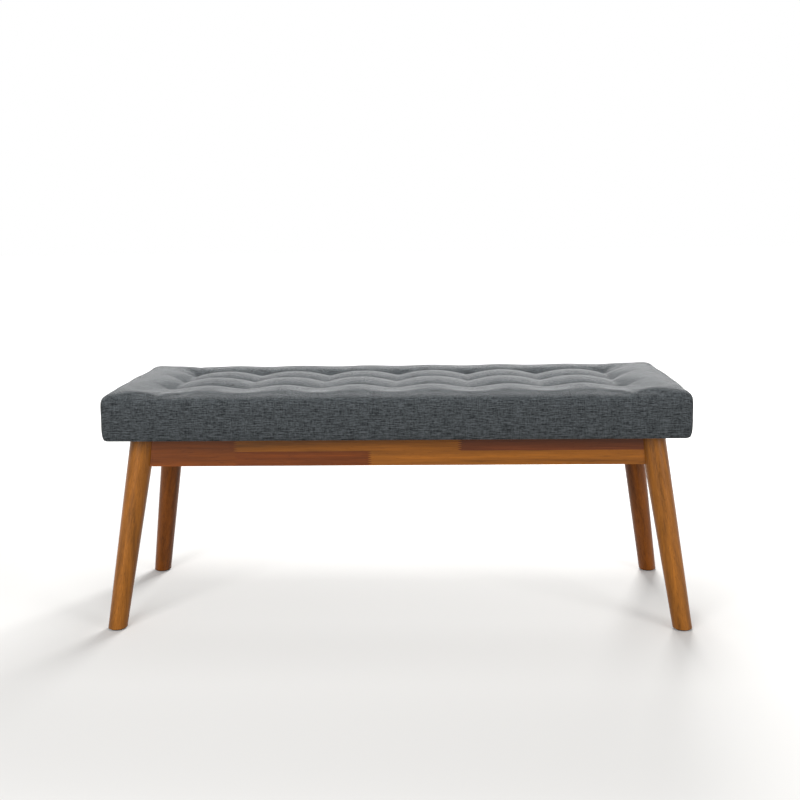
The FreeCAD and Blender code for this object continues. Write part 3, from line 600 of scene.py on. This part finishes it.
def shape_cushion(mesh, settings):
    """Draw the sides in at their foot and give the top its crests, dips and tufts."""
    columns, rows = tuft_points(settings)
    block_height = SEAT_HIGH.z - SEAT_LOW.z
    widest_level = 0.58
    rim = 0.03
    for vertex in mesh.vertices:
        x, y, z = vertex.co
        level = (z - SEAT_LOW.z) / block_height
        drawn = settings.draw_in * max(0.0, 1 - level / widest_level) ** 2
        # Room for the padding to push the sides out again
        drawn += settings.side_swell * smooth_step(0.1, 0.5, level)
        edge_x = smooth_step(SEAT_HIGH.x - rim, SEAT_HIGH.x, abs(x))
        edge_y = smooth_step(SEAT_HIGH.y - rim, SEAT_HIGH.y, abs(y))
        vertex.co.x -= math.copysign(drawn * edge_x, x)
        vertex.co.y -= math.copysign(drawn * edge_y, y)
        lift = top_height(x, y, columns, rows, settings) - SEAT_HIGH.z
        vertex.co.z = max(SEAT_LOW.z, z + lift * smooth_step(0.6, 1.0, level))


def hold_points(piece, settings):
    """Group the points that stay put in the simulation: the underside, the hem and the tufts."""
    columns, rows = tuft_points(settings)
    held = piece.vertex_groups.new(name="held")
    firm = 0.004
    foot_reach, tuft_reach = 0.03, 0.012
    top_level = TUFTS_HIGH.z - 0.01
    for vertex in piece.data.vertices:
        x, y, z = vertex.co
        foot = 1 - smooth_step(firm, foot_reach, z - SEAT_LOW.z)
        to_column = min(abs(x - place) for place in columns)
        to_row = min(abs(y - place) for place in rows)
        to_tuft = math.hypot(to_column, to_row)
        tuft = 1 - smooth_step(firm, tuft_reach, to_tuft) if z > top_level else 0.0
        weight = max(foot, tuft)
        if weight > 0:
            held.add([vertex.index], weight, "REPLACE")
    return held.name


def swell(mesh, settings):
    """Let the padding push the cover out with a cloth simulation, and cap how far each point moves."""
    start = [vertex.co.copy() for vertex in mesh.vertices]
    holder = bpy.data.objects.new("swelling_cover", mesh)
    scene = bpy.context.scene
    scene.collection.objects.link(holder)
    cloth = holder.modifiers.new("cloth", "CLOTH")
    cloth.settings.vertex_group_mass = hold_points(holder, settings)
    cloth.settings.use_pressure = True
    cloth.settings.uniform_pressure_force = settings.pressure
    cloth.settings.effector_weights.gravity = 0
    cloth.settings.quality = 5
    cloth.settings.mass = 0.3
    cloth.settings.tension_stiffness = 15
    cloth.settings.bending_stiffness = 0.5
    cloth.collision_settings.use_collision = False
    first, last = 1, 20
    cloth.point_cache.frame_start = first
    cloth.point_cache.frame_end = last
    for moment in range(first, last + 1):
        scene.frame_set(moment)
    graph = bpy.context.evaluated_depsgraph_get()
    swollen = holder.evaluated_get(graph).to_mesh()
    facing_up = [max(0.0, vertex.normal.z) for vertex in mesh.vertices]
    for vertex, old, new, upward in zip(mesh.vertices, start, swollen.vertices, facing_up):
        move = new.co - old
        cap = settings.side_swell + (settings.swell - settings.side_swell) * upward
        if move.length > cap:
            move *= cap / move.length
        vertex.co = old + move
    holder.evaluated_get(graph).to_mesh_clear()
    bpy.data.objects.remove(holder)
    scene.frame_set(first)


def lay_weave(mesh):
    """Give the cover a flat cloth map in metres: over the top and down all four sides."""
    layer = mesh.uv_layers.new(name="weave")
    turn_start, turn_end = 0.04, 0.005
    for face in mesh.polygons:
        centre = face.center
        over_end = SEAT_HIGH.x - abs(centre.x) < SEAT_HIGH.y - abs(centre.y)
        for index in face.loop_indices:
            x, y, z = mesh.vertices[mesh.loops[index].vertex_index].co
            down = SEAT_HIGH.z - z
            if over_end:
                turned = smooth_step(SEAT_HIGH.x - turn_start, SEAT_HIGH.x - turn_end, abs(x))
                x += math.copysign(down, x) * turned
            else:
                turned = smooth_step(SEAT_HIGH.y - turn_start, SEAT_HIGH.y - turn_end, abs(y))
                y += math.copysign(down, y) * turned
            layer.data[index].uv = (x, y)


class BENCH_OT_cushion(bpy.types.Operator):
    """Build the tufted seat cushion"""

    bl_idname = "bench.cushion"
    bl_label = "Tufted Cushion"

    def execute(self, context):
        settings = context.scene.bench_cushion
        mesh = with_modifier(rounded_block(settings), "REMESH", mode="VOXEL", voxel_size=settings.voxel)
        shape_cushion(mesh, settings)
        swell(mesh, settings)
        mesh = with_modifier(mesh, "SUBSURF", levels=1, render_levels=1)
        lay_weave(mesh)
        for face in mesh.polygons:
            face.use_smooth = True
        cushion = new_piece("tufted_cushion", mesh, linen_cloth())
        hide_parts("seat_cover", "seat_foam")
        return {"FINISHED"}


class BENCH_OT_dust_cover(bpy.types.Operator):
    """Build the thin black cloth stapled under the seat"""

    bl_idname = "bench.dust_cover"
    bl_label = "Dust Cover"

    def execute(self, context):
        size = DUST_HIGH - DUST_LOW
        form = bmesh.new()
        bmesh.ops.create_grid(form, x_segments=108, y_segments=38, size=0.5)
        bmesh.ops.scale(form, vec=(size.x, size.y, 1), verts=form.verts)
        for vertex in form.verts:
            ripple = noise.noise(Vector((vertex.co.x * 9, vertex.co.y * 30, 1.0)))
            vertex.co.z = DUST_LOW.z + size.z * (0.35 + 0.3 * ripple)
        mesh = bpy.data.meshes.new("dust_cover_cloth")
        form.to_mesh(mesh)
        form.free()
        # Spun-bonded polypropylene: thin, matt and faintly dimpled
        dimple = (0.0015, 0.0015, 0.0015)
        cloth = speckled("non_woven_dust_cloth", "#0d0d0e", "#1b1b1d", dimple, 0.9, relief=0.0002)
        piece = new_piece("underside_dust_cover", mesh, cloth)
        shell = piece.modifiers.new("thickness", "SOLIDIFY")
        shell.thickness = 0.0003
        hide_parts("dust_cover")
        return {"FINISHED"}


class BENCH_OT_woodwork(bpy.types.Operator):
    """Finish the legs, the aprons and the rails inside"""

    bl_idname = "bench.woodwork"
    bl_label = "Woodwork"

    def execute(self, context):
        splay = LEG_HIGH - LEG_LOW
        half = APRON_HIGH.x
        upper_share = 0.53
        split = APRON_HIGH.z - upper_share * (APRON_HIGH.z - APRON_LOW.z)
        lean = math.radians(9)
        for number, (name, side) in enumerate(
            (("front_left", -1), ("front_right", 1), ("rear_left", -1), ("rear_right", 1))
        ):
            # Upright grain that leans with the leg, from another part of the plank for each leg
            turn = (0.0, math.pi / 2 + side * lean, 0.0)
            shift = (0.3 * number, 0.11 * number, splay.y)
            # Painted shade: the rear legs take a darker copy of the leg stain, where the seat shades them
            stain = "leg_amber" if name.startswith("front") else "leg_painted_shade"
            dress(f"leg_{name}", stained_wood(f"leg_wood_{name}", turn, shift, stain))
        # Each stave row lists where a stave starts, in metres from the middle, and its stain
        front = {
            "half_length": half,
            "split": split,
            "upper": ((-half, "stave_brown"), (-0.303, "stave_gold"), (0.126, "stave_dark")),
            "lower": ((-half, "stave_brown"), (-0.303, "stave_red"), (-0.0485, "stave_gold")),
        }
        rear = {
            "half_length": half,
            "split": split - 0.004,
            "upper": ((-half, "stave_gold"), (-0.12, "stave_brown"), (0.27, "stave_gold")),
            "lower": ((-half, "stave_red"), (0.04, "stave_brown"), (0.36, "stave_gold")),
        }
        dress("front_apron", stained_wood("front_apron_wood", (0, 0, 0), (0, 0, 0), staves=front))
        dress("rear_apron", stained_wood("rear_apron_wood", (0, 0, 0), (0, 0, 0), staves=rear))
        for name, side in (("left", -1), ("right", 1)):
            end = {
                "half_length": half,
                "split": split + 0.003 * side,
                "upper": ((-half, "stave_gold" if side > 0 else "stave_brown"), (0.04 * side, "stave_brown")),
                "lower": ((-half, "stave_brown"), (-0.05 * side, "stave_gold")),
            }
            wood = stained_wood(f"side_apron_wood_{name}", (0, 0, math.pi / 2), (0, 0, 0), staves=end)
            dress(f"side_apron_{name}", wood)
        # Sawn hardwood, bare: pale, with saw fuzz along the grain
        sawn = speckled("sawn_hardwood", "#a98459", "#c7a67b", (0.03, 0.002, 0.002), 0.8, relief=0.0003)
        blocks = [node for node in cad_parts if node.startswith("corner_block")]
        for node in ["centre_brace", "apron_dowels"] + blocks:
            dress(node, sawn)
        # Rotary-cut plywood, sanded: pale with broad soft figure
        dress("seat_board", speckled("plywood", "#b08d5f", "#c9ab80", (0.12, 0.015, 0.001), 0.75))
        return {"FINISHED"}


class BENCH_OT_hardware(bpy.types.Operator):
    """Finish the glides, fasteners, staples and twines"""

    bl_idname = "bench.hardware"
    bl_label = "Hardware"

    def execute(self, context):
        # Zinc-plated steel: satin bright metal with faint clouding
        zinc = speckled("zinc_plated_steel", "#a8aaa8", "#c9cbc9", (0.004, 0.004, 0.004), 0.35, metallic=1.0)
        for node in (
            "hanger_bolts",
            "bolt_washers",
            "bolt_nuts",
            "block_screws",
            "seat_screws",
            "glide_nails",
            "cover_staples",
        ):
            dress(node, zinc)
        # Moulded nylon: dark, satin, with a fine mould texture
        nylon = speckled("moulded_nylon", "#1c1714", "#2a2420", (0.0008, 0.0008, 0.0008), 0.5, relief=0.0001)
        for node in [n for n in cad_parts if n.startswith("foot_glide")] + ["twine_washers"]:
            dress(node, nylon)
        # Waxed polyester twine
        dress("tuft_twines", speckled("waxed_twine", "#6c675c", "#8d8778", (0.001, 0.001, 0.002), 0.6))
        return {"FINISHED"}


class BENCH_OT_stage(bpy.types.Operator):
    """Set the floor, the backdrop, the lights and the camera"""

    bl_idname = "bench.stage"
    bl_label = "Stage"

    def execute(self, context):
        scene = context.scene
        form = bmesh.new()
        reach = 20
        bmesh.ops.create_grid(form, x_segments=2, y_segments=2, size=reach)
        mesh = bpy.data.meshes.new("studio_floor")
        form.to_mesh(mesh)
        form.free()
        floor = bpy.data.objects.new("studio_floor", mesh)
        scene.collection.objects.link(floor)
        material, tree, shader = new_material("pale_floor")
        # Pale to the eye and in gloss, and a dull floor for the light that it throws back up
        seen = seen_rays(tree)
        colour = add_node(
            tree,
            "ShaderNodeMix",
            {0: seen, 6: linear("#56534f"), 7: linear("#e6e5e3")},
            data_type="RGBA",
        )
        # Far from the bench the floor melts into the white background
        place = add_node(tree, "ShaderNodeTexCoord").outputs["Object"]
        away = add_node(tree, "ShaderNodeVectorMath", {0: place}, operation="LENGTH")
        far = add_node(
            tree,
            "ShaderNodeMapRange",
            {"Value": away.outputs["Value"], "From Min": 0.8, "From Max": 3.2},
            interpolation_type="SMOOTHSTEP",
        )
        glow = add_node(tree, "ShaderNodeMath", {0: far.outputs["Result"], 1: seen}, operation="MULTIPLY")
        tree.links.new(glow.outputs[0], shader.inputs["Emission Strength"])
        shader.inputs["Emission Color"].default_value = (1.0, 1.0, 1.0, 1.0)
        tree.links.new(colour.outputs[2], shader.inputs["Base Color"])
        shader.inputs["Roughness"].default_value = 0.9
        shader.inputs["Specular IOR Level"].default_value = 0.0
        mesh.materials.append(material)

        world = bpy.data.worlds.new("studio_world")
        scene.world = world
        world.use_nodes = True
        background = world.node_tree.nodes["Background"]
        background.inputs["Color"].default_value = (1.0, 1.0, 1.0, 1.0)
        # White to the eye, and a weaker white for the light that it gives
        sky = world.node_tree
        given_light = 0.36
        strength = add_node(
            sky, "ShaderNodeMapRange", {"Value": seen_rays(sky), "To Min": given_light, "To Max": 1.0}
        )
        sky.links.new(strength.outputs["Result"], background.inputs["Strength"])

        # Where each lamp stands, its size in metres and its power in watts
        for name, place, size, power in (
            ("key_light", (-1.1, -2.5, 1.35), 1.5, 47),
            ("fill_light", (2.0, -1.8, 1.0), 0.9, 20),
            ("rear_light", (0.5, 2.2, 1.7), 1.1, 78),
            ("top_light", (0.0, 0.2, 2.5), 1.2, 20),
        ):
            lamp = bpy.data.lights.new(name, "AREA")
            lamp.size = size
            lamp.energy = power
            holder = bpy.data.objects.new(name, lamp)
            holder.location = place
            aim = Vector((0, 0, 0.3)) - Vector(place)
            holder.rotation_euler = aim.to_track_quat("-Z", "Y").to_euler()
            holder.visible_camera = False
            scene.collection.objects.link(holder)

        settings = scene.bench_camera
        pitch, yaw, roll = (math.radians(a) for a in (settings.pitch, settings.yaw, settings.roll))
        ahead = Vector((math.sin(yaw) * math.cos(pitch), math.cos(yaw) * math.cos(pitch), -math.sin(pitch)))
        level = Vector((math.cos(yaw), -math.sin(yaw), 0))
        above = level.cross(ahead)
        right = level * math.cos(roll) + above * math.sin(roll)
        up = above * math.cos(roll) - level * math.sin(roll)
        data = bpy.data.cameras.new("photo_camera")
        data.sensor_width = 36
        frame_pixels = 800
        data.lens = settings.focal_pixels * data.sensor_width / frame_pixels
        camera = bpy.data.objects.new("photo_camera", data)
        turn = Matrix((right, up, -ahead)).transposed()
        camera.matrix_world = Matrix.Translation(settings.place) @ turn.to_4x4()
        scene.collection.objects.link(camera)
        scene.camera = camera
        scene.view_settings.view_transform = "Standard"
        return {"FINISHED"}


OPERATORS = (
    BENCH_OT_cushion,
    BENCH_OT_dust_cover,
    BENCH_OT_woodwork,
    BENCH_OT_hardware,
    BENCH_OT_stage,
)


class BENCH_PT_panel(bpy.types.Panel):
    """Lists the bench's builders in the sidebar."""

    bl_idname = "BENCH_PT_panel"
    bl_label = "Tufted Bench"
    bl_space_type = "VIEW_3D"
    bl_region_type = "UI"
    bl_category = "Bench"

    def draw(self, context):
        for operator in OPERATORS:
            self.layout.operator(operator.bl_idname)


GROUPS = {
    "bench_cushion": CushionSettings,
    "bench_colours": ColourSettings,
    "bench_camera": CameraSettings,
}
CLASSES = (*GROUPS.values(), *OPERATORS, BENCH_PT_panel)


def register():
    for cls in CLASSES:
        bpy.utils.register_class(cls)
    for name, group in GROUPS.items():
        setattr(bpy.types.Scene, name, PointerProperty(type=group))


def unregister():
    for name in GROUPS:
        delattr(bpy.types.Scene, name)
    for cls in reversed(CLASSES):
        bpy.utils.unregister_class(cls)


def main():
    """Build the whole bench."""
    register()
    for operator in OPERATORS:
        module, name = operator.bl_idname.split(".")
        getattr(getattr(bpy.ops, module), name)()


if __name__ == "__main__":
    main()
